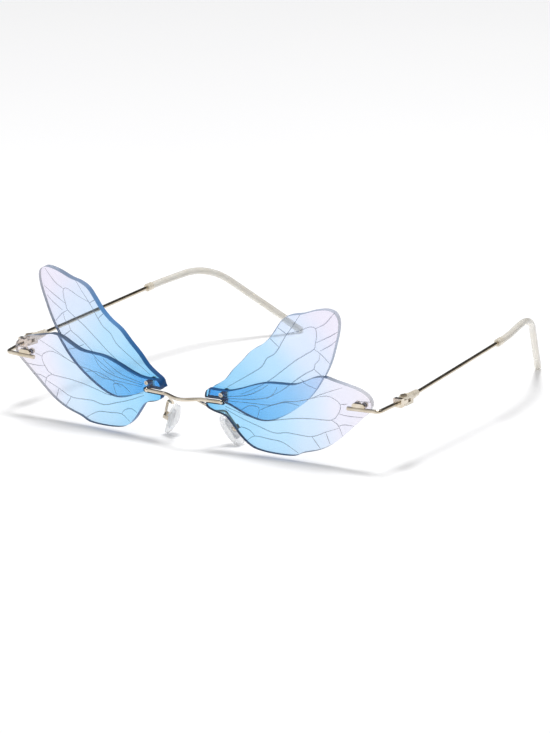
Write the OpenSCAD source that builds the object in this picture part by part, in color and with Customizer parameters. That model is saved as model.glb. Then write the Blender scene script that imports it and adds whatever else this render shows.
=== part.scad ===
// Rimless sunglasses whose four lenses are dragonfly wings.
// +X is the wearer's left, +Y runs back along the temples and +Z is up.
// The glasses stand on the two nose pads and on the two temple tips, at Z = 0.

/* [Overall] */
// Distance between the outer corners of the two end pieces
front_w = 142.4; // [130:0.1:155]
// Distance along the temple from the corner of the end piece to the bend over the ear
temple_len = 102.5; // [92:0.5:114]
// Height of the bridge slot above the surface
bridge_z = 16.9; // [15.5:0.1:19]

/* [Wings] */
// Thickness of each wing plate
wing_t = 2; // [1.6:0.1:2.4]
// Angle by which the outer end of a wing turns back round the face
wing_wrap = 5.2; // [0:0.1:8]
// Angle by which the top of a wing leans forward
wing_tilt = 6; // [0:0.5:12]
// Gap between the rear wing plate and the front wing plate
wing_gap = 0.02; // [0:0.01:0.1]
// Height of the slot at the nose end of the wings
slot_h = 1.8; // [1.7:0.05:2]
// Distance from the middle of the face to the closed end of the slot
slot_end = 15.5; // [15.2:0.1:16]

/* [Bridge] */
// Diameter of the bridge wire
bridge_d = 1.2; // [0.9:0.05:1.3]
// Distance by which the middle of the bridge stands forward of its ends
bridge_bow = 2; // [0:0.1:2.6]
// Distance from the middle of the face to the bridge screws
bridge_screw_x = 14.2; // [13.6:0.1:14.4]
// Height of the bridge screws above the slot's middle
bridge_screw_rise = 2.3; // [2.2:0.05:2.4]
// Sideways place of the nose pad arms on the bridge
pad_arm_x = 5.5; // [4.5:0.1:6.5]

/* [Posts] */
// Diameter of the posts and screws that pass through the wings
post_d = 0.9; // [0.7:0.05:1]
// Wall of the clear sleeve round a post
sleeve_wall = 0.25; // [0.2:0.05:0.3]
// Diameter of the small cap nuts
nut_d = 1.9; // [1.7:0.1:2.2]
// Height of the small cap nuts
nut_h = 1; // [0.8:0.1:1.4]
// Distance between the two posts of an end piece
post_pitch = 2.6; // [2.4:0.1:3]

/* [End pieces] */
// Diameter of the end piece wire
end_d = 1.3; // [1.1:0.05:1.5]
// Height of the end piece wire above the bridge slot's middle, along the wing
end_rise = 3.8; // [3.4:0.1:4.4]
// Distance from the corner in to the inner post of an end piece
end_post_in = 8.6; // [8.3:0.1:9.3]
// Height of the two posts above the end piece wire
end_post_rise = 1; // [0.9:0.05:1.2]
// Radius of the wire's bend at the corner
corner_r = 1.6; // [1.3:0.1:2.5]
// Distance from the corner back to the hinge pin
hinge_back = 13; // [10:0.1:16]
// Distance by which the hinge pin stands further out than the corner
hinge_out = 0.8; // [0:0.1:1.2]

/* [Hinges] */
// Diameter of the hinge knuckles
knuckle_d = 3; // [2.6:0.1:3.6]
// Thickness of the middle knuckle
tongue_t = 1.1; // [0.9:0.05:1.4]
// Thickness of each ear of the temple's fork
ear_t = 0.8; // [0.6:0.05:1]
// Diameter of the hinge screw
screw_d = 1.2; // [1:0.05:1.3]
// Running clearance round the hinge screw and between the knuckles
run_gap = 0.05; // [0.02:0.01:0.1]

/* [Temples] */
// Angle by which the temples turn in towards the back
temple_in = 3.8; // [1:0.1:5]
// Angle by which the temples rise towards the back
temple_rise = 3.6; // [2:0.1:5]
// Diameter of the temple wire
temple_d = 1.2; // [1:0.05:1.4]
// Distance from the slight turn behind the ferrule to the bend over the ear
ear_lead = 24.5; // [22:0.5:28]
// Angle by which the temple turns in behind the ferrule
lead_in = 12; // [8:0.5:15]
// Angle by which it rises there
lead_rise = 4.4; // [3.6:0.2:6]
// Angle of the tips below the horizontal
tip_drop = 37.5; // [33:0.5:42]
// Angle by which the tips turn in
tip_in = 28.5; // [20:0.5:31]
// Radius of the bend over the ear, at the wire's middle
ear_bend_r = 26; // [16:1:30]
// Diameter of the clear temple tips
tip_d = 2.2; // [1.8:0.1:2.4]
// Length of the clear part past the end of the wire
tip_over = 2; // [1.5:0.1:4]
// Diameter of the ferrules
ferrule_d = 2.5; // [2.3:0.1:3]
// Length of the ferrules
ferrule_l = 2.4; // [1.8:0.1:4]

/* [Nose pads] */
// Length of the nose pads
pad_l = 12; // [11:0.1:13]
// Width of the nose pads
pad_w = 4.6; // [4.2:0.1:5.4]
// Thickness of the nose pads
pad_t = 2.2; // [2:0.1:2.6]
// Distance of the nose pads' middle from the middle of the face
pad_x = 10.9; // [10.4:0.1:12]
// Diameter of the nose pad arms
arm_d = 0.9; // [0.7:0.05:1]
// Diameter of the nose pad pin
pad_pin_d = 0.7; // [0.6:0.05:0.8]

/* [Hidden] */

gold = "goldenrod";
clear = [0.92, 0.95, 0.97, 0.5];
fit = 0.02;
$fn = 48;

// Outline of an upper wing, from the nose round the top to the tip and back.
// First value: distance out from the middle. Second: height above the slot's middle.
upper_outline = [
    [9.2, 0.3], [9.2, 1.9], [9.8, 3.5], [12.2, 5], [15.2, 7.2], [18, 10.6], [21.5, 14], [25, 17.7],
    [29, 20.2], [32.4, 23.4], [34.8, 26.8], [37.2, 29.8], [40.5, 31.4], [44, 32.1], [48.5, 33.7],
    [52.6, 34.5], [55.4, 33.9], [56.8, 31.6], [56.5, 27.6], [55, 22.4], [53.2, 17.2], [51, 12.8],
    [47.8, 7.8], [44.6, 4], [41, 0.9], [36.6, -2], [32, -4.3], [27.6, -5.1], [23, -4.1],
    [18.8, -2.3], [15.2, -0.8]
];

// Outline of a lower wing, in the same way
lower_outline = [
    [8.6, -0.3], [8.6, 2.2], [9.8, 3.8], [13, 3.7], [17, 3.9], [21.5, 5.2], [26, 6.9], [31, 8.3],
    [36, 8.6], [40.6, 8.9], [44.4, 10.4], [48, 12.1], [51.6, 12.7], [55, 11.9], [59.6, 10.9],
    [64, 9.7], [67, 7.8], [67.8, 5.2], [66.4, 2.6], [62.6, -1], [57.6, -5.6], [53.2, -9.3],
    [48.2, -11.9], [42.6, -13.5], [39.4, -14.9], [34, -15.2], [28, -14.8], [24, -13.7],
    [20.6, -10.9], [18, -7.6], [15.4, -4.6], [11.6, -3.5], [9, -2.3]
];

outline_steps = 3;
// Where a straight and a bend of a wire meet, the wire is thicker by this much
bead = 0.02;
slot_r = slot_h / 2;
stack_t = 2 * wing_t + wing_gap;
sleeve_d = post_d + 2 * fit + 2 * sleeve_wall;
hole_d = sleeve_d + 2 * fit;
nut_wall_gap = 0.02;

// The lens plane: its axes for the wearer's left side, and its point at the middle of the slot
axis_out = [cos(wing_wrap), sin(wing_wrap), 0];
axis_up = [sin(wing_tilt) * sin(wing_wrap), -sin(wing_tilt) * cos(wing_wrap), cos(wing_tilt)];
axis_back = [-cos(wing_tilt) * sin(wing_wrap), cos(wing_tilt) * cos(wing_wrap), sin(wing_tilt)];
corner_lens_x = (front_w / 2 - end_d / 2) / cos(wing_wrap);
end_post_x = corner_lens_x - end_post_in;

// Beyond the slot the wings are stretched so that they end this far in from the corner
wing_end_gap = 3.04;
stretch = (corner_lens_x - wing_end_gap - slot_end) / (max([for (q = lower_outline) q.x]) - slot_end);
corner_y_from_slot = corner_lens_x * sin(wing_wrap) - end_rise * sin(wing_tilt) - end_d / 2;

// Directions of a temple, of its lead to the ear and of its tip
temple_dir = [-sin(temple_in) * cos(temple_rise), cos(temple_in) * cos(temple_rise), sin(temple_rise)];
lead_dir = [-sin(lead_in) * cos(lead_rise), cos(lead_in) * cos(lead_rise), sin(lead_rise)];
tip_dir = [-sin(tip_in) * cos(tip_drop), cos(tip_in) * cos(tip_drop), -sin(tip_drop)];

// Corner, hinge pin and bend of the left side, measured from the corner's height and depth
corner_rise = end_rise * cos(wing_tilt);
corner_z = bridge_z + corner_rise;
pin_z = corner_z + hinge_back * tan(temple_rise);
lead_from_pin = temple_len - hinge_back - ear_lead;
// The slight turn is made in two small steps, this far apart
turn_span = 5;
turn_dir = unit(temple_dir + lead_dir);
from_lead = turn_span * turn_dir + (ear_lead - turn_span) * lead_dir;
bend_drop = pin_z + lead_from_pin * temple_dir.z + from_lead.z;
tip_len = (bend_drop - tip_d / 2) / sin(tip_drop);

// Between these distances the bridge is bowed; further out it runs straight, this deep in the slot
bar_out_x = 8;
bar_depth = 0.1;

// The origin lies under the middle of the whole, so the depth of the front follows from the reach
reach_y = hinge_back + lead_from_pin * temple_dir.y + from_lead.y + tip_len * tip_dir.y + tip_d / 2;
front_reach = corner_y_from_slot + bridge_bow + bridge_d / 2 - bar_depth - bar_out_x * sin(wing_wrap);
origin_y = (reach_y - front_reach) / 2;
corner = [front_w / 2 - end_d / 2, -origin_y, corner_z];
slot_mid = [0, corner.y - corner_y_from_slot, bridge_z];
pin = [corner.x + hinge_out, corner.y + hinge_back, pin_z];
return_dir = unit(pin - corner);
lead = pin + lead_from_pin * temple_dir;
bend = lead + from_lead;
tip_end = bend + tip_len * tip_dir;

// Nose pads: angles, and the place of the middle of each pad, whose lower end touches Z = 0
pad_splay = -8;
pad_lean = -24;
pad_rake = 20;
pad_back = 11.4;
pad_pin_out = pad_t / 2 + 1;
pad_end_r = pad_w / 2;
pad_mid = [pad_x, slot_mid.y + pad_back, pad_end_drop()];
box_w = 2.2;
box_wall = 0.35;
box_h = 1.4;
boss_d = 1.3;
boss_w = box_w - 2 * box_wall - 2 * run_gap;
boss_gap = 0.1;
arm_out = pad_pin_out + (boss_d + arm_d) / 2 + boss_gap;
box_back = arm_out - box_wall / 2;

function unit(v) = v / norm(v);

// A point of the left lens plane: out from the middle, up from the slot, back from the front face
function on_lens(p) = slot_mid + p.x * axis_out + p.y * axis_up + p.z * axis_back;

// A point in a nose pad's own axes, carried to its place
function turn_x(v, a) = [v.x, v.y * cos(a) - v.z * sin(a), v.y * sin(a) + v.z * cos(a)];
function turn_y(v, a) = [v.x * cos(a) + v.z * sin(a), v.y, -v.x * sin(a) + v.z * cos(a)];
function turn_z(v, a) = [v.x * cos(a) - v.y * sin(a), v.x * sin(a) + v.y * cos(a), v.z];
function pad_turn(v) = turn_z(turn_y(turn_x(v, pad_rake), pad_lean), pad_splay);
function pad_end_drop() = (pad_l / 2 - pad_end_r) * pad_turn([0, 0, 1]).z
    + pad_end_r * norm([pad_turn([0, 1, 0]).z, pad_turn([0, 0, 1]).z]);
function on_pad(p) = pad_mid + pad_turn(p);

// A smooth closed curve through the points of an outline
function curve_at(a, b, c, d, t) = 0.5 * (2 * b + (c - a) * t + (2 * a - 5 * b + 4 * c - d) * t * t
    + (3 * b - a - 3 * c + d) * t * t * t);
function smooth_loop(p) = let (n = len(p)) [
    for (i = [0 : n - 1]) for (s = [0 : outline_steps - 1])
        curve_at(p[(i + n - 1) % n], p[i], p[(i + 1) % n], p[(i + 2) % n], s / outline_steps)
];

// An outline, stretched to the width of the front
function fitted(p) = [for (q = p) [q.x > slot_end ? slot_end + stretch * (q.x - slot_end) : q.x, q.y]];

// A rounded oval, as points round its edge
function oval(l, w, r) = [
    for (q = [0 : 3]) for (a = [0 : 15 : 75])
        let (b = a + 90 * q, c = [q == 0 || q == 3 ? w / 2 - r : r - w / 2, q < 2 ? l / 2 - r : r - l / 2])
        c + r * [cos(b), sin(b)]
];

module place(origin, x, y, z) {
    multmatrix([
        [x.x, y.x, z.x, origin.x],
        [x.y, y.y, z.y, origin.y],
        [x.z, y.z, z.z, origin.z],
        [0, 0, 0, 1]
    ]) children();
}

module both_sides() {
    children();
    mirror([1, 0, 0]) children();
}

// A straight rod between two points
module rod(a, b, d) {
    z = unit(b - a);
    side = abs(z.z) < 0.9 ? [0, 0, 1] : [1, 0, 0];
    x = unit(cross(side, z));
    place(a, x, cross(z, x), z) cylinder(d = d, h = norm(b - a));
}

// A ball that joins two stretches of a wire, with its poles along the wire
module ball_joint(at, dir, d) {
    side = abs(dir.z) < 0.9 ? [0, 0, 1] : [1, 0, 0];
    x = unit(cross(side, dir));
    place(at, x, cross(dir, x), dir) sphere(d = d + bead);
}

// The round bend of a wire at a corner point
module wire_bend(before, at, after, bend_r, d) {
    d1 = unit(at - before);
    d2 = unit(after - at);
    inward = unit(d2 - d1 * (d1 * d2));
    angle = acos(d1 * d2);
    centre = at - d1 * bend_r * tan(angle / 2) + inward * bend_r;
    place(centre, -inward, d1, cross(-inward, d1))
        rotate_extrude(angle = angle) translate([bend_r, 0]) circle(d = d);
}

// A bent wire through corner points. Every corner has its own bend radius, or 0 for a slight turn.
module wire(p, radii, d) {
    last = len(p) - 1;
    function turn(i) = (i == 0 || i == last) ? 0
        : radii[i - 1] * tan(acos(unit(p[i] - p[i - 1]) * unit(p[i + 1] - p[i])) / 2);
    for (i = [0 : last - 1]) {
        dir = unit(p[i + 1] - p[i]);
        rod(p[i] + dir * turn(i), p[i + 1] - dir * turn(i + 1), d);
    }
    for (i = [1 : 1 : last - 1]) {
        dir_in = unit(p[i] - p[i - 1]);
        dir_out = unit(p[i + 1] - p[i]);
        if (radii[i - 1] > 0) {
            wire_bend(p[i - 1], p[i], p[i + 1], radii[i - 1], d);
            ball_joint(p[i] - dir_in * turn(i), dir_in, d);
        }
        ball_joint(p[i] + dir_out * turn(i), dir_out, d);
    }
}

// Points along the round bend of a wire at a corner point
function bend_points(before, at, after, bend_r, steps) = let (
    d1 = unit(at - before),
    d2 = unit(after - at),
    inward = unit(d2 - d1 * (d1 * d2)),
    angle = acos(d1 * d2),
    centre = at - d1 * bend_r * tan(angle / 2) + inward * bend_r
) [for (i = [0 : steps]) centre + bend_r * (d1 * sin(angle * i / steps) - inward * cos(angle * i / steps))];

// A smooth wire through points that never run along the direction called across
tube_sides = 16;

module tube(p, d, across = [0, 0, 1]) {
    last = len(p) - 1;
    function ring(i) = let (
        along = unit(p[min(i + 1, last)] - p[max(i - 1, 0)]),
        side = unit(cross(along, across)),
        up = cross(side, along)
    ) [for (k = [0 : tube_sides - 1]) let (a = 360 * k / tube_sides)
        p[i] + d / 2 * (side * cos(a) + up * sin(a))];
    corners = [for (i = [0 : last]) each ring(i)];
    walls = [
        for (i = [0 : last - 1]) for (k = [0 : tube_sides - 1]) let (
            a = i * tube_sides + k,
            b = i * tube_sides + (k + 1) % tube_sides
        ) each [[a, b, b + tube_sides], [a, b + tube_sides, a + tube_sides]]
    ];
    front_end = [for (k = [tube_sides - 1 : -1 : 0]) k];
    back_end = [for (k = [0 : tube_sides - 1]) last * tube_sides + k];
    polyhedron(corners, concat([front_end, back_end], walls), convexity = 6);
}

// Carries a shape drawn in the lens plane to the left lens
module in_lens() {
    translate(slot_mid) rotate([wing_tilt, 0, wing_wrap]) children();
}

// A plate drawn in the lens plane, from its front face back
module plate(outline, front, t) {
    translate([0, front + t, 0]) rotate([90, 0, 0]) linear_extrude(t) polygon(smooth_loop(fitted(outline)));
}

module lens_hole(x, z, d) {
    translate([x, -1, z]) rotate([-90, 0, 0]) cylinder(d = d, h = stack_t + 2);
}

// The slot that both plates share, open at the nose
module slot() {
    end = slot_end - slot_r;
    translate([0, -1, -slot_r]) cube([end, stack_t + 2, slot_h]);
    lens_hole(end, 0, slot_h);
}

module bridge_holes() {
    slot();
    lens_hole(bridge_screw_x, bridge_screw_rise, hole_d);
}

module end_holes() {
    for (i = [0, 1]) lens_hole(end_post_x + i * post_pitch, end_post_v, hole_d);
}

module upper_wing() {
    color([0.55, 0.78, 0.95, 0.6]) in_lens() difference() {
        plate(upper_outline, wing_t + wing_gap, wing_t);
        bridge_holes();
    }
}

module lower_wing() {
    color([0.35, 0.66, 0.93, 0.6]) in_lens() difference() {
        plate(lower_outline, 0, wing_t);
        bridge_holes();
        end_holes();
    }
}

// The bridge wire lies in the front of each slot and ends in a knob. A stub leads back from the
// knob to a tab behind the wings, and the tab is held by a screw.
bar_in = on_lens([bridge_screw_x, 0, bar_depth]);
bar_out = on_lens([bar_out_x, 0, bar_depth]);
bar_sag = 0.5;
bar_steps = 8;
knob_d = slot_h - 0.2;
stub_d = slot_h - 0.4;
tab_w = 1.9;
tab_t = 0.8;
tab_front = stack_t + fit;

// A point of the bridge between the slots, by its distance out from the middle
function bar_at(x) = let (share = (1 + cos(180 * x / bar_out.x)) / 2)
    [x, bar_out.y - bridge_bow * share, bar_out.z - bar_sag * share];

module bridge_wire() {
    color(gold) difference() {
        union() {
            tube([
                [-bar_in.x, bar_in.y, bar_in.z],
                for (i = [-bar_steps : bar_steps]) bar_at(bar_out.x * i / bar_steps),
                bar_in
            ], bridge_d);
            both_sides() in_lens() translate([bridge_screw_x, 0, 0]) {
                translate([0, bar_depth, 0]) sphere(d = knob_d);
                translate([0, bar_depth, 0]) rotate([-90, 0, 0])
                    cylinder(d = stub_d, h = tab_front + tab_t / 2 - bar_depth);
                translate([0, tab_front + tab_t, bridge_screw_rise / 2]) rotate([90, 0, 0])
                    linear_extrude(tab_t) polygon(oval(bridge_screw_rise + tab_w, tab_w, tab_w / 2));
            }
        }
        both_sides() in_lens() translate([bridge_screw_x, stack_t - 1, bridge_screw_rise])
            rotate([-90, 0, 0]) cylinder(d = post_d + 2 * fit, h = 3);
    }
}

// A clear sleeve lines each hole, so that the metal doesn't bear on the wing
module sleeve_at(x, z, front, back) {
    in_lens() translate([x, front, z]) rotate([-90, 0, 0]) difference() {
        cylinder(d = sleeve_d, h = back - front);
        translate([0, 0, -1]) cylinder(d = post_d + 2 * fit, h = back - front + 2);
    }
}

// A round cap nut with a domed end, open where the post screws in
module cap_nut(depth) {
    difference() {
        rotate_extrude() intersection() {
            union() {
                square([nut_d / 2, nut_h * 0.7]);
                translate([0, nut_h - nut_d]) circle(r = nut_d);
            }
            square([nut_d / 2, nut_h]);
        }
        translate([0, 0, -1]) cylinder(d = post_d + 2 * fit, h = 1 + depth);
    }
}

module bridge_sleeves() {
    color(clear) both_sides() sleeve_at(bridge_screw_x, bridge_screw_rise, 0, stack_t);
}

// A flat round screw head with a slot, drawn from Z = 0 up
module screw_head(d, h) {
    difference() {
        cylinder(d = d, h = h);
        translate([-d, -0.15, h - 0.2]) cube([2 * d, 0.3, 1]);
    }
}

// A screw through the tab and the sleeve, with its head behind the tab
screw_tip_depth = 0.4;

module bridge_screws() {
    shaft_l = tab_front + tab_t - screw_tip_depth;
    color(gold) both_sides() in_lens()
        translate([bridge_screw_x, tab_front + tab_t, bridge_screw_rise]) rotate([-90, 0, 0]) {
            translate([0, 0, -shaft_l]) cylinder(d = post_d, h = shaft_l + 0.1);
            translate([0, 0, fit]) screw_head(1.7, 0.5);
        }
}

// An end piece: a wire along the front of the wing, a tab with two posts, and the hinge tongue
end_tip_x = end_post_x - 2.2;
end_front = -end_d / 2 - fit;
end_post_v = end_rise + end_post_rise;
end_tab_w = 1.9;
end_tab_t = 0.8;
tongue_arm = 2.9;

module end_piece() {
    start = on_lens([end_tip_x, end_rise, end_front]);
    color(gold) difference() {
        union() {
            tube([start - 0.35 * axis_out, start, each bend_points(start, corner, pin, corner_r, 8),
                pin - tongue_arm * return_dir], end_d);
            in_lens() translate([end_post_x + post_pitch / 2, -fit, end_post_v]) {
                rotate([90, 90, 0]) linear_extrude(end_tab_t)
                    polygon(oval(post_pitch + end_tab_w, end_tab_w, end_tab_w / 2));
                for (i = [-0.5, 0.5]) translate([i * post_pitch, -end_tab_t / 2, 0])
                    rotate([-90, 0, 0]) cylinder(d = post_d, h = wing_t + end_tab_t / 2 + nut_h * 0.7);
            }
            translate(pin) tongue();
        }
        translate(pin - [0, 0, 5]) cylinder(d = screw_d + 2 * run_gap, h = 10);
    }
}

// The tongue: a flat leaf with a round end on the pin, and a block on the wire
module tongue() {
    translate([0, 0, -tongue_t / 2]) cylinder(d = knuckle_d, h = tongue_t);
    translate([-knuckle_d / 2, -tongue_arm, -tongue_t / 2]) cube([knuckle_d, tongue_arm, tongue_t]);
    translate([-knuckle_d / 2, -tongue_arm - 0.8, -fork_h / 2]) cube([knuckle_d, 1.8, fork_h]);
}

module end_sleeves() {
    color(clear) for (i = [0, 1]) sleeve_at(end_post_x + i * post_pitch, end_post_v, 0, wing_t);
}

module end_nuts() {
    color(gold) for (i = [0, 1]) in_lens()
        translate([end_post_x + i * post_pitch, wing_t + nut_wall_gap, end_post_v]) rotate([-90, 0, 0])
            cap_nut(nut_h * 0.7);
}

// The temple's fork: two ears on the pin, a web behind them and a tapered neck on the wire
fork_gap = tongue_t + 2 * run_gap;
fork_h = fork_gap + 2 * ear_t;
web_back = knuckle_d / 2 + 0.5;
neck_l = 5.2;
screw_head_d = 2.1;
screw_head_h = 0.5;

module temple_fork() {
    color(gold) difference() {
        translate(pin) rotate([0, 0, temple_in]) {
            for (z = [-fork_h / 2, fork_gap / 2]) translate([0, 0, z]) {
                cylinder(d = knuckle_d, h = ear_t);
                translate([-knuckle_d / 2, 0, 0]) cube([knuckle_d, web_back + 1, ear_t]);
            }
            translate([-knuckle_d / 2, web_back, -fork_h / 2]) cube([knuckle_d, 1.6, fork_h]);
            neck();
        }
        translate(pin - [0, 0, 5]) cylinder(d = screw_d + 2 * fit, h = 10);
        temple_path(temple_d + 2 * fit);
    }
}

module neck() {
    rotate([temple_rise - 90, 0, 0]) translate([0, 0, web_back + 1.2])
        cylinder(d1 = fork_h, d2 = temple_d + 0.9, h = neck_l);
}

module hinge_screw() {
    color(gold) translate(pin) {
        translate([0, 0, -fork_h / 2]) cylinder(d = screw_d, h = fork_h);
        translate([0, 0, fork_h / 2]) screw_head(screw_head_d, screw_head_h);
    }
}

// The temple wire from the fork to near the end of the clear tip
wire_start = pin + (web_back + 0.9) * temple_dir;
wire_end = tip_end - tip_over * tip_dir;
tip_straight = tip_d / 2 + 0.2;
tip_start = lead - tip_straight * temple_dir;
ferrule_at = tip_start - (ferrule_l + fit) * temple_dir;

// A wire from a point of the straight temple to a point of the straight tip
module ear_wire(from, to, d) {
    wire([from, lead, lead + turn_span * turn_dir, bend, to], [0, 0, ear_bend_r], d);
}

module temple_path(d) {
    ear_wire(wire_start, wire_end, d);
}

module temple_wire() {
    color(gold) temple_path(temple_d);
}

module ferrule() {
    color(gold) difference() {
        rod(ferrule_at, ferrule_at + ferrule_l * temple_dir, ferrule_d);
        temple_path(temple_d + 2 * fit);
    }
}

module temple_tip() {
    color(clear) difference() {
        union() {
            ear_wire(tip_start, tip_end, tip_d);
            translate(tip_end) sphere(d = tip_d + bead);
        }
        ear_wire(ferrule_at, wire_end, temple_d + 2 * fit);
    }
}

// Nose pad: drawn with its long axis along Z, its soft face towards -X and its boss towards +X
module in_pad() {
    translate(pad_mid) rotate([pad_rake, pad_lean, pad_splay]) children();
}

module pad_form(l, w, t, crown) {
    intersection() {
        translate([t / 2, 0, 0]) rotate([90, 0, -90]) linear_extrude(t)
            polygon(oval(l, w, min(l, w) / 2));
        translate([crown - t / 2, 0, 0]) sphere(r = crown, $fn = 96);
    }
}

module core_form(extra) {
    l = pad_l * 0.62;
    w = pad_w * 0.56;
    translate([pad_t / 2 - 0.7 - extra, 0, 0]) rotate([90, 0, 90])
        linear_extrude(0.7 + 2 * extra) polygon(oval(l + 2 * extra, w + 2 * extra, w / 2 + extra));
}

module nose_pad() {
    color(clear) in_pad() difference() {
        pad_form(pad_l, pad_w, pad_t, 14);
        core_form(fit);
    }
}

module nose_pad_core() {
    color("whitesmoke") in_pad() difference() {
        union() {
            core_form(0);
            translate([pad_t / 2 - 0.1, -boss_w / 2, -boss_d / 2])
                cube([pad_pin_out - pad_t / 2 + 0.1, boss_w, boss_d]);
            translate([pad_pin_out, boss_w / 2, 0]) rotate([90, 0, 0]) cylinder(d = boss_d, h = boss_w);
        }
        translate([pad_pin_out, 5, 0]) rotate([90, 0, 0]) cylinder(d = pad_pin_d + 2 * run_gap, h = 10);
    }
}

// The box at the end of a nose pad arm: two cheeks beside the boss, and a back wall
module pad_box() {
    box_front = pad_t / 2 + 0.35;
    difference() {
        translate([box_front, -box_w / 2, -box_h / 2]) cube([box_back + box_wall - box_front, box_w, box_h]);
        translate([0, -box_w / 2 + box_wall, -box_h])
            cube([box_back, box_w - 2 * box_wall, 2 * box_h]);
        translate([pad_pin_out, 5, 0]) rotate([90, 0, 0]) cylinder(d = pad_pin_d + 2 * fit, h = 10);
    }
}

// Each arm is soldered to the bridge's rear underside. It runs back to above the pad, over its end
// and down its outer side to the pad's box.
solder_depth = 0.15;
arm_root = bar_at(pad_arm_x) + [0, 0.8, -0.6] * (bridge_d / 2 - solder_depth);

module nose_pad_arm() {
    above = on_pad([0.7, -1.8, pad_l / 2 + 2]);
    beside = on_pad([arm_out, -0.4, pad_l / 2 + 0.6]);
    end = on_pad([arm_out, 0, 0]);
    color(gold) {
        tube([arm_root, each bend_points(arm_root, above, beside, 1.5, 6),
            each bend_points(above, beside, end, 1.5, 6), end], arm_d, [1, -0.3, 0.8]);
        in_pad() pad_box();
    }
}

module nose_pad_pin() {
    color(gold) in_pad() {
        translate([pad_pin_out, box_w / 2 + 0.1, 0]) rotate([90, 0, 0])
            cylinder(d = pad_pin_d, h = box_w + 0.2);
        translate([pad_pin_out, box_w / 2 + 0.3, 0]) rotate([90, 0, 0]) cylinder(d = 1.3, h = 0.3);
    }
}

module right() {
    mirror([1, 0, 0]) children();
}

upper_wing();  // upper_wing_left
right() upper_wing();  // upper_wing_right
lower_wing();  // lower_wing_left
right() lower_wing();  // lower_wing_right
bridge_wire();
bridge_sleeves();
bridge_screws();
nose_pad_arm();  // nose_pad_arm_left
right() nose_pad_arm();  // nose_pad_arm_right
nose_pad_pin();  // nose_pad_pin_left
right() nose_pad_pin();  // nose_pad_pin_right
nose_pad_core();  // nose_pad_core_left
right() nose_pad_core();  // nose_pad_core_right
nose_pad();  // nose_pad_left
right() nose_pad();  // nose_pad_right
end_piece();  // end_piece_left
right() end_piece();  // end_piece_right
end_sleeves();  // end_sleeves_left
right() end_sleeves();  // end_sleeves_right
end_nuts();  // end_nuts_left
right() end_nuts();  // end_nuts_right
temple_fork();  // temple_fork_left
right() temple_fork();  // temple_fork_right
hinge_screw();  // hinge_screw_left
right() hinge_screw();  // hinge_screw_right
temple_wire();  // temple_wire_left
right() temple_wire();  // temple_wire_right
ferrule();  // ferrule_left
right() ferrule();  // ferrule_right
temple_tip();  // temple_tip_left
right() temple_tip();  // temple_tip_right
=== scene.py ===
import math

import bpy
from mathutils import Matrix, Vector


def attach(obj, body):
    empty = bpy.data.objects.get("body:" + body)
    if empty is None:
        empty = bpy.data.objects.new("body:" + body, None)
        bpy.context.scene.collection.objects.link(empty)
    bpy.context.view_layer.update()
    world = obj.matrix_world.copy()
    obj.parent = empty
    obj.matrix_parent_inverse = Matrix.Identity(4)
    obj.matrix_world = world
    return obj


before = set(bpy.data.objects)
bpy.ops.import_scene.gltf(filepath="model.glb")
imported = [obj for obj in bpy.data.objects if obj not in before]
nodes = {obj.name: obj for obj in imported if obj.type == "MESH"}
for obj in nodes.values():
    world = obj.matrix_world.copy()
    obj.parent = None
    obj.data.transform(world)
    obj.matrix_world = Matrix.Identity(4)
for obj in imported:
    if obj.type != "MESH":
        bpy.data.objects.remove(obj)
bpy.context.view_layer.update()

MM = 0.001
SIDES = (("left", 1), ("right", -1))


# Camera, fitted to the photograph. Its place is in mm, and its clip distances are in metres.
PHOTO_HEIGHT = 733
AZIMUTH, ELEVATION, ROLL = (math.radians(angle) for angle in (33.86, 15.22, -0.81))
CAMERA_AT = Vector((1629.7, -2444.15, 810.2))
FOCAL_PIXELS = 9507.0
SENSOR_MM = 36
CLIP_START, CLIP_END = 0.1, 50


def make_camera():
    back = Vector((math.sin(AZIMUTH) * math.cos(ELEVATION),
                   -math.cos(AZIMUTH) * math.cos(ELEVATION), math.sin(ELEVATION)))
    level_right = Vector((math.cos(AZIMUTH), math.sin(AZIMUTH), 0))
    level_up = back.cross(level_right)
    right = level_right * math.cos(ROLL) + level_up * math.sin(ROLL)
    up = level_up * math.cos(ROLL) - level_right * math.sin(ROLL)
    data = bpy.data.cameras.new("camera")
    data.sensor_width = SENSOR_MM
    data.lens = FOCAL_PIXELS * SENSOR_MM / PHOTO_HEIGHT
    data.clip_start = CLIP_START
    data.clip_end = CLIP_END
    camera = bpy.data.objects.new("camera", data)
    bpy.context.scene.collection.objects.link(camera)
    turn = Matrix((right, up, back)).transposed().to_4x4()
    camera.matrix_world = Matrix.Translation(CAMERA_AT * MM) @ turn
    bpy.context.scene.camera = camera


make_camera()


# Node helpers. A Mix node has several sockets of each name, so those for colours go by number.
MIX_SHARE, MIX_FIRST, MIX_SECOND, MIX_COLOUR = 0, 6, 7, 2
# Most of a noise lies between these two.
NOISE_LOW, NOISE_HIGH = 0.3, 0.7


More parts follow.
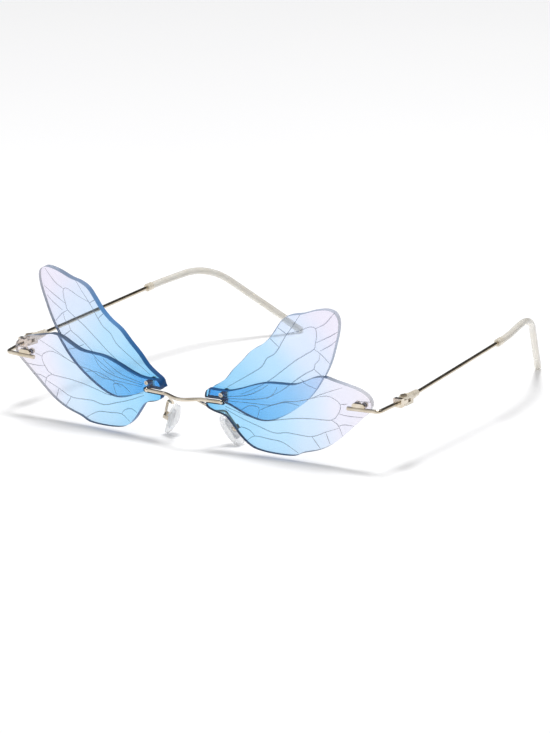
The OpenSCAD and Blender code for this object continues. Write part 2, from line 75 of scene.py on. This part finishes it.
class Graph:
    """A node tree, with short ways to add nodes and links."""

    def __init__(self, tree):
        self.tree = tree

    def node(self, kind, **properties):
        node = self.tree.nodes.new("ShaderNode" + kind)
        for key, value in properties.items():
            setattr(node, key, value)
        return node

    def link(self, output, socket):
        self.tree.links.new(output, socket)

    def math(self, operation, *values):
        """A Math node. Each value is a number or the output of another node."""
        node = self.node("Math", operation=operation)
        for socket, value in zip(node.inputs, values):
            if isinstance(value, (int, float)):
                socket.default_value = value
            else:
                self.link(value, socket)
        return node.outputs[0]

    def dot(self, vector, direction):
        node = self.node("VectorMath", operation="DOT_PRODUCT")
        self.link(vector, node.inputs[0])
        node.inputs[1].default_value = direction
        return node.outputs["Value"]

    def split(self, vector):
        node = self.node("SeparateXYZ")
        self.link(vector, node.inputs[0])
        return node.outputs

    def remap(self, value, low, high, to_low=0.0, to_high=1.0, easing="LINEAR"):
        node = self.node("MapRange", interpolation_type=easing)
        for key, number in (("From Min", low), ("From Max", high),
                            ("To Min", to_low), ("To Max", to_high)):
            node.inputs[key].default_value = number
        self.link(value, node.inputs["Value"])
        return node.outputs["Result"]


class Material(Graph):
    """A node material round one Principled shader, with places in the object's own metres."""

    def __init__(self, name):
        self.data = bpy.data.materials.new(name)
        self.data.use_nodes = True
        super().__init__(self.data.node_tree)
        self.shader = self.tree.nodes["Principled BSDF"]
        self.place = self.node("TexCoord").outputs["Object"]

    def set(self, **numbers):
        """Numbers that are the same all over, on the shader's own sockets."""
        for key, number in numbers.items():
            self.shader.inputs[key.replace("_", " ")].default_value = number

    def drive(self, socket, output):
        self.link(output, self.shader.inputs[socket])

    def noise(self, scale, detail, roughness):
        node = self.node("TexNoise")
        node.inputs["Scale"].default_value = scale
        node.inputs["Detail"].default_value = detail
        node.inputs["Roughness"].default_value = roughness
        self.link(self.place, node.inputs["Vector"])
        return node.outputs["Fac"]

    def spread(self, noise, low, high):
        """The middle of a noise's range, stretched from low to high."""
        return self.remap(noise, NOISE_LOW, NOISE_HIGH, low, high)

    def ramp(self, share, stops, easing="LINEAR"):
        """The colour for a share, from stops that each give a share and its colour."""
        node = self.node("ValToRGB")
        node.color_ramp.interpolation = easing
        elements = node.color_ramp.elements
        while len(elements) > 1:
            elements.remove(elements[-1])
        for index, (position, colour) in enumerate(stops):
            stop = elements.new(position) if index else elements[0]
            stop.position = position
            stop.color = (*colour, 1)
        self.link(share, node.inputs["Fac"])
        return node.outputs["Color"]

    def mix(self, share, first, second):
        """The first colour where the share is 0, and the second where it is 1."""
        node = self.node("Mix", data_type="RGBA")
        self.link(share, node.inputs[MIX_SHARE])
        self.link(first, node.inputs[MIX_FIRST])
        self.link(second, node.inputs[MIX_SECOND])
        return node.outputs[MIX_COLOUR]

    def bump(self, height, strength, distance):
        node = self.node("Bump")
        node.inputs["Strength"].default_value = strength
        node.inputs["Distance"].default_value = distance
        self.link(height, node.inputs["Height"])
        self.drive("Normal", node.outputs["Normal"])


def srgb(text):
    """A colour written as in a paint program, as linear light, by the sRGB standard's formula."""
    channels = [int(text[i:i + 2], 16) / 255 for i in (0, 2, 4)]
    return tuple(c / 12.92 if c <= 0.04045 else ((c + 0.055) / 1.055) ** 2.4 for c in channels)


def assign(piece, material):
    piece.data.materials.clear()
    piece.data.materials.append(material)


def add_mesh(name, points, faces):
    data = bpy.data.meshes.new(name)
    data.from_pydata(points, [], faces)
    data.update()
    piece = bpy.data.objects.new(name, data)
    bpy.context.scene.collection.objects.link(piece)
    return piece


# The wings' own planes, in mm and degrees, with the same values as the part's source
WRAP, TILT = math.radians(5.2), math.radians(6.0)
WING_THICKNESS, WING_GAP = 2.0, 0.02
SLOT_MIDDLE = Vector((0, -68.27, 16.9))
OUT = Vector((math.cos(WRAP), math.sin(WRAP), 0))
UP = Vector((math.sin(TILT) * math.sin(WRAP), -math.sin(TILT) * math.cos(WRAP), math.cos(TILT)))
BACK = Vector((-math.cos(TILT) * math.sin(WRAP), math.cos(TILT) * math.cos(WRAP), math.sin(TILT)))


def on_wing(outwards, upwards, backwards, sign):
    """A point in metres: outwards from the middle, upwards from the slot, backwards from the front."""
    point = SLOT_MIDDLE + OUT * outwards + UP * upwards + BACK * backwards
    return Vector((point.x * sign, point.y, point.z)) * MM


# The wings' tint. A fade runs along its direction, outwards and upwards, from start to end in mm.
# A tint gives shares of the fade and their colours, in linear light.
UPPER_FADE = {"direction": (0.82, 0.57), "start": 8, "end": 76}
LOWER_FADE = {"direction": (1.0, 0.0), "start": 8, "end": 68}
UPPER_TINT = ((0.0, (0.16, 0.52, 0.86)), (0.17, (0.32, 0.64, 0.90)), (0.37, (0.45, 0.71, 0.93)),
              (0.58, (0.67, 0.77, 0.93)), (0.78, (0.82, 0.79, 0.91)), (1.0, (0.84, 0.77, 0.88)))
LOWER_TINT = ((0.0, (0.18, 0.55, 0.88)), (0.2, (0.36, 0.68, 0.93)), (0.42, (0.47, 0.73, 0.94)),
              (0.6, (0.62, 0.77, 0.93)), (0.8, (0.80, 0.80, 0.91)), (1.0, (0.84, 0.80, 0.87)))
# The cut rim's colour is painted shade: the rim is coloured darker than the faces, and paler outwards.
RIM_SHADE_TINT = ((0.0, srgb("164E86")), (0.2, srgb("316CA8")), (0.45, srgb("6096D0")),
            (0.7, srgb("94A8C8")), (1.0, srgb("AEB0BA")))
FADE_WANDER = 1.2
# Where a normal's cosine with the wing's own normal is below this, the surface is cut rim.
FACE_COSINE = 0.6
POLISH_BEST, POLISH_WORST = 0.015, 0.045
RIM_ROUGHER = 0.35
FACE_CLEAR, RIM_CLEAR = 1.0, 0.05
RIM_PALE_FROM, RIM_PALE_TO, RIM_PALE = 0.5, 0.95, 0.45
WING_IOR = 1.46


def wing_material(name, sign, fade, tint):
    """Clear tinted sheet: the tint fades along the wing, and the cut rim is less clear and painted
    darker, as painted shade.
    """
    look = Material(name)
    place = look.split(look.place)
    out_share, up_share = fade["direction"]
    outwards = look.math("MULTIPLY", place["X"], sign * out_share)
    upwards = look.math("MULTIPLY", look.math("SUBTRACT", place["Z"], SLOT_MIDDLE.z * MM), up_share)
    cloud = look.noise(90.0, detail=2.0, roughness=0.5)
    wander = look.spread(cloud, -FADE_WANDER * MM, FADE_WANDER * MM)
    along = look.math("ADD", look.math("ADD", outwards, upwards), wander)
    share = look.remap(along, fade["start"] * MM, fade["end"] * MM)

    facing = look.dot(look.node("NewGeometry").outputs["True Normal"], (BACK.x * sign, BACK.y, BACK.z))
    rim = look.math("LESS_THAN", look.math("ABSOLUTE", facing), FACE_COSINE)
    face_colour = look.ramp(share, tint, "EASE")
    # The rim gets painted shade, a darker colour than the faces' tint.
    rim_shade_colour = look.ramp(share, RIM_SHADE_TINT, "EASE")
    look.drive("Base Color", look.mix(rim, face_colour, rim_shade_colour))
    polish = look.spread(look.noise(700.0, detail=2.0, roughness=0.6), POLISH_BEST, POLISH_WORST)
    look.drive("Roughness", look.math("ADD", polish, look.math("MULTIPLY", rim, RIM_ROUGHER)))
    look.drive("Transmission Weight", look.remap(rim, 0.0, 1.0, FACE_CLEAR, RIM_CLEAR))
    pale = look.remap(share, RIM_PALE_FROM, RIM_PALE_TO, 0.0, RIM_PALE)
    look.drive("Alpha", look.math("SUBTRACT", 1.0, look.math("MULTIPLY", rim, pale)))
    look.set(IOR=WING_IOR)
    return look.data


for side, sign in SIDES:
    for wing, fade, tint in (("upper_wing_", UPPER_FADE, UPPER_TINT),
                             ("lower_wing_", LOWER_FADE, LOWER_TINT)):
        assign(nodes[wing + side], wing_material(wing + side, sign, fade, tint))


# Engraved veins, drawn on the left wings in mm: outwards from the middle, upwards from the slot
UPPER_VEINS = (
    ((43, 31.8), (40, 27.5), (37, 23.5), (34.5, 19.5), (32.5, 17), (30, 15.5), (28, 12.5), (24.5, 10),
     (18.5, 6.2), (15, 4)),
    ((37.7, 24.6), (42, 26), (46, 27.8), (48, 27.5), (48.2, 25), (47.5, 22), (47, 20.5), (43, 17.8),
     (40, 15.8), (35, 11.8), (31, 8.6), (26, 5.4), (20, 2.4)),
    ((48, 27.5), (51.5, 29.5), (55, 33.4)),
    ((47, 20.5), (49.5, 19), (52.5, 16)),
    ((49, 19.2), (48.5, 17), (47, 15.5), (46.5, 13.8), (43.5, 12), (40, 9.5), (35, 5.6), (29, 2)),
    ((46.5, 13.8), (49.8, 11.4)),
    ((48, 22.8), (52.5, 25.2), (56, 27.4)),
    ((49.2, 20.2), (53, 22.5), (55.2, 24.4)),
    ((41.5, 9.8), (45, 8.2), (47.4, 7.6)),
    ((31.5, 22.3), (34.6, 19.6)),
    ((34.6, 26.2), (37.6, 24.4)),
    ((26.7, -2), (29.6, -0.5), (33.3, 1), (36.2, 1.7), (39, 1.5), (40.8, 1.1)),
)
LOWER_VEINS = (
    ((46.5, 5.2), (52, 6.7), (55, 6), (56.8, 4.6), (56.8, 2.8), (55.5, 0.6), (53.3, -1.2), (46, -1.6),
     (40, -2.3), (35, -3.3), (29.5, -4.3), (23, -3.4), (15.6, -1.2)),
    ((56.9, 4.4), (59.6, 5)),
    ((63.2, 6.2), (67.6, 6.6)),
    ((56, 1.2), (60, 0.9), (64.8, 1.1)),
    ((55.9, -2.9), (58, -2.2), (61.2, -2.2)),
    ((53.3, -1.2), (55, -2), (56, -3.3), (57, -6)),
    ((55.8, -3.6), (51, -5.5), (46, -7.6), (40, -7.5), (37, -7.4), (32.5, -8), (27, -6.4), (21.5, -4.6),
     (15.4, -2)),
    ((51, -5.5), (52.4, -9.4)),
    ((46, -7.6), (48.9, -11.4)),
    ((40.8, -13.8), (35.5, -10.9), (30.5, -10.3), (25.5, -10), (22.4, -12)),
    ((25.5, -10), (24, -8.3), (21, -7.5), (19, -8.6)),
    ((15.4, 2), (23, 3.3), (28, 5.5), (31.4, 7.8)),
    ((15.6, 1.4), (26.5, 2.5), (32.5, 4.4), (34.8, 7.6)),
    ((16, 0.7), (25, 1), (32, 1.2), (37, 3), (41, 3.5), (46.5, 5.2), (50, 6.9), (54, 8.6), (58, 10.2)),
    ((21, -2), (24.2, 0), (27.7, -0.2), (27, -3.6)),
)
VEIN_STEP = 1.0
VEIN_WIDTH = 0.32
VEIN_TIP, VEIN_SWELL = 0.55, 0.45
VEIN_LIFT, VEIN_HEIGHT = 0.005, 0.03
FRONT_FACE, BACK_FACE = -VEIN_LIFT, 2 * WING_THICKNESS + WING_GAP + VEIN_LIFT
VEIN_TINT = ((0.1, srgb("3A78AE")), (0.45, srgb("7296B8")), (0.8, srgb("A8A9B8")))
VEIN_FADE_START, VEIN_FADE_END, VEIN_WANDER = 8, 68, 2
VEIN_SMOOTH, VEIN_DULL = 0.35, 0.55
# A ribbon has this many corners at each point of its path.
CORNERS = 4


def smooth_path(points):
    """Points about VEIN_STEP mm apart along the Catmull-Rom curve through the given ones."""
    path = []
    for i in range(len(points) - 1):
        start, end = Vector(points[i]), Vector(points[i + 1])
        before = Vector(points[i - 1]) if i else start * 2 - end
        after = Vector(points[i + 2]) if i + 2 < len(points) else end * 2 - start
        count = max(2, int((end - start).length / VEIN_STEP))
        for k in range(count):
            t = k / count
            path.append(0.5 * (2 * start + (end - before) * t
                               + (2 * before - 5 * start + 4 * end - after) * t * t
                               + (3 * start - before - 3 * end + after) * t ** 3))
    path.append(Vector(points[-1]))
    return path


def vein_mesh(name, veins, depth, height, sign):
    """Thin ribbons along the veins. They taper at both ends, and lie from depth to depth + height."""
    points, faces = [], []
    for vein in veins:
        path = smooth_path(vein)
        steps = len(path) - 1
        first = len(points)
        for i, middle in enumerate(path):
            ahead = (path[min(i + 1, steps)] - path[max(i - 1, 0)]).normalized()
            across = Vector((-ahead.y, ahead.x))
            half = VEIN_WIDTH / 2 * (VEIN_TIP + VEIN_SWELL * math.sin(math.pi * i / steps))
            for way in (1, -1):
                edge = middle + across * half * way
                points += [on_wing(edge.x, edge.y, depth, sign),
                           on_wing(edge.x, edge.y, depth + height, sign)]
        for i in range(steps):
            a = first + i * CORNERS
            b = a + CORNERS
            faces += [(a, a + 1, b + 1, b), (a + 2, b + 2, b + 3, a + 3),
                      (a, b, b + 2, a + 2), (a + 1, a + 3, b + 3, b + 1)]
        last = first + steps * CORNERS
        faces += [(first, first + 2, first + 3, first + 1), (last, last + 1, last + 3, last + 2)]
    return add_mesh(name, points, faces)


def vein_material(name, alpha):
    """Blue-grey lines that grow paler outwards and are partly see-through."""
    look = Material(name)
    uneven = look.noise(400.0, detail=2.0, roughness=0.5)
    outwards = look.math("ABSOLUTE", look.split(look.place)["X"])
    along = look.math("ADD", outwards, look.spread(uneven, -VEIN_WANDER * MM, VEIN_WANDER * MM))
    share = look.remap(along, VEIN_FADE_START * MM, VEIN_FADE_END * MM)
    look.drive("Base Color", look.ramp(share, VEIN_TINT))
    look.drive("Roughness", look.spread(uneven, VEIN_SMOOTH, VEIN_DULL))
    look.set(Alpha=alpha)
    return look.data


vein_looks = {"upper": vein_material("vein_lines_upper", alpha=0.36),
              "lower": vein_material("vein_lines_lower", alpha=0.44)}
for side, sign in SIDES:
    for name, veins, depth, height in (("upper", UPPER_VEINS, BACK_FACE, VEIN_HEIGHT),
                                       ("lower", LOWER_VEINS, FRONT_FACE, -VEIN_HEIGHT)):
        piece = vein_mesh("%s_wing_veins_%s" % (name, side), veins, depth, height, sign)
        assign(piece, vein_looks[name])
        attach(piece, "front")


# Metal
METAL_DARK_AT, METAL_LIGHT_AT = 0.3, 0.65
METAL_SMOOTHER, METAL_ROUGHER = 0.7, 1.4
GRAIN_STRENGTH, GRAIN_DEPTH = 0.08, 0.03


def metal_material(name, light, dark, roughness, metallic):
    """Plated metal, a little worn in its colour, with a fine grain."""
    look = Material(name)
    wear = look.noise(260.0, detail=4.0, roughness=0.6)
    look.drive("Base Color", look.ramp(wear, ((METAL_DARK_AT, dark), (METAL_LIGHT_AT, light))))
    grain = look.noise(1500.0, detail=2.0, roughness=0.5)
    look.drive("Roughness", look.spread(grain, roughness * METAL_SMOOTHER, roughness * METAL_ROUGHER))
    look.bump(grain, GRAIN_STRENGTH, GRAIN_DEPTH * MM)
    look.set(Metallic=metallic)
    return look.data


gold_wire = metal_material("gold_wire", srgb("E2D8C8"), srgb("CABCA4"), roughness=0.1, metallic=1.0)
gold_temple = metal_material("gold_temple", srgb("D2C6B2"), srgb("B8AC96"), roughness=0.05, metallic=1.0)
gold_parts = metal_material("gold_hardware", srgb("FAF2E2"), srgb("ECE0CA"), roughness=0.25, metallic=0.2)
screw_metal = metal_material("screw_metal", srgb("B4A68E"), srgb("8C8070"), roughness=0.3, metallic=0.6)


# Clear plastics
PLASTIC_SMOOTHER, PLASTIC_ROUGHER = 0.6, 1.4


def plastic_material(name, light, dark, roughness, ior, transmission, alpha):
    """Milky to clear plastic, a little uneven in its colour and gloss."""
    look = Material(name)
    cloud = look.noise(300.0, detail=3.0, roughness=0.5)
    look.drive("Base Color", look.ramp(cloud, ((NOISE_LOW, dark), (NOISE_HIGH, light))))
    look.drive("Roughness", look.spread(cloud, roughness * PLASTIC_SMOOTHER, roughness * PLASTIC_ROUGHER))
    look.set(Transmission_Weight=transmission, IOR=ior, Alpha=alpha)
    return look.data


clear_sleeve = plastic_material("clear_sleeve", srgb("FFFCF4"), srgb("FCF6EA"),
                                roughness=0.2, ior=1.40, transmission=0.2, alpha=1.0)
pad_silicone = plastic_material("pad_silicone", srgb("F8F9FA"), srgb("F0F2F5"),
                                roughness=0.18, ior=1.30, transmission=0.5, alpha=0.45)
pad_insert = plastic_material("pad_insert", srgb("EEF0F2"), srgb("DFE3E8"),
                              roughness=0.3, ior=1.40, transmission=0.5, alpha=0.6)

for material, in_the_middle, on_each_side in (
    (gold_wire, ("bridge_wire",), ("nose_pad_arm", "end_piece")),
    (gold_temple, (), ("temple_wire",)),
    (gold_parts, ("bridge_screws",), ("temple_fork", "ferrule", "end_nuts", "nose_pad_pin")),
    (screw_metal, (), ("hinge_screw",)),
    (pad_silicone, (), ("nose_pad",)),
    (pad_insert, (), ("nose_pad_core",)),
    (clear_sleeve, ("bridge_sleeves",), ("end_sleeves", "temple_tip")),
):
    for name in in_the_middle:
        assign(nodes[name], material)
    for name in on_each_side:
        for side, _ in SIDES:
            assign(nodes["%s_%s" % (name, side)], material)


# Floor, in metres
FLOOR_HALF = 3.0
FLOOR_SHADES = ((0.2, (0.86, 0.86, 0.87)), (0.8, (0.88, 0.88, 0.885)))
FLOOR_GLOW = 0.22


def make_floor():
    """A pale matt floor that glows a little, so that shadows on it stay soft and light."""
    corners = [(-FLOOR_HALF, -FLOOR_HALF, 0), (FLOOR_HALF, -FLOOR_HALF, 0),
               (FLOOR_HALF, FLOOR_HALF, 0), (-FLOOR_HALF, FLOOR_HALF, 0)]
    obj = add_mesh("floor", corners, [(0, 1, 2, 3)])
    look = Material("floor")
    look.drive("Base Color", look.ramp(look.noise(8.0, detail=2.0, roughness=0.4), FLOOR_SHADES))
    look.set(Roughness=0.9, Specular_IOR_Level=0.1)
    look.set(Emission_Color=(1, 1, 1, 1), Emission_Strength=FLOOR_GLOW)
    assign(obj, look.data)


make_floor()


# Light, in metres and watts
SOFTBOX_AT = Vector((0.05, -0.03, 1.2))
SOFTBOX_SIZE = 0.3
SOFTBOX_POWER = 8.7
STUDIO_STRENGTH = 0.86
STUDIO_DARK, STUDIO_BRIGHT = 0.1, 1.0
FRONT_LEFT = (-0.6, -0.8, 0)
OVERHEAD_FROM, OVERHEAD_TO = 0.7, 0.95
FRONT_LEFT_FROM, FRONT_LEFT_TO = 0.45, 0.9


def make_softbox():
    """One soft light overhead, aimed at the middle of the part's place on the floor."""
    data = bpy.data.lights.new("softbox_top", "AREA")
    data.shape = "RECTANGLE"
    data.size = data.size_y = SOFTBOX_SIZE
    data.energy = SOFTBOX_POWER
    softbox = bpy.data.objects.new("softbox_top", data)
    bpy.context.scene.collection.objects.link(softbox)
    softbox.location = SOFTBOX_AT
    softbox.rotation_mode = "QUATERNION"
    softbox.rotation_quaternion = (-SOFTBOX_AT).to_track_quat("-Z", "Y")


def make_studio():
    """A studio bright overhead and at the front left, and dark elsewhere, for the wires' dark streak."""
    world = bpy.data.worlds.new("studio")
    bpy.context.scene.world = world
    world.use_nodes = True
    graph = Graph(world.node_tree)
    direction = graph.node("TexCoord").outputs["Generated"]
    overhead = graph.remap(graph.split(direction)["Z"], OVERHEAD_FROM, OVERHEAD_TO,
                           STUDIO_DARK, STUDIO_BRIGHT, "SMOOTHSTEP")
    front_left = graph.remap(graph.dot(direction, FRONT_LEFT), FRONT_LEFT_FROM, FRONT_LEFT_TO,
                             STUDIO_DARK, STUDIO_BRIGHT, "SMOOTHSTEP")
    sky = world.node_tree.nodes["Background"]
    graph.link(graph.math("MAXIMUM", overhead, front_left), sky.inputs["Color"])
    sky.inputs["Strength"].default_value = STUDIO_STRENGTH


make_softbox()
make_studio()
bpy.context.scene.view_settings.view_transform = "Standard"
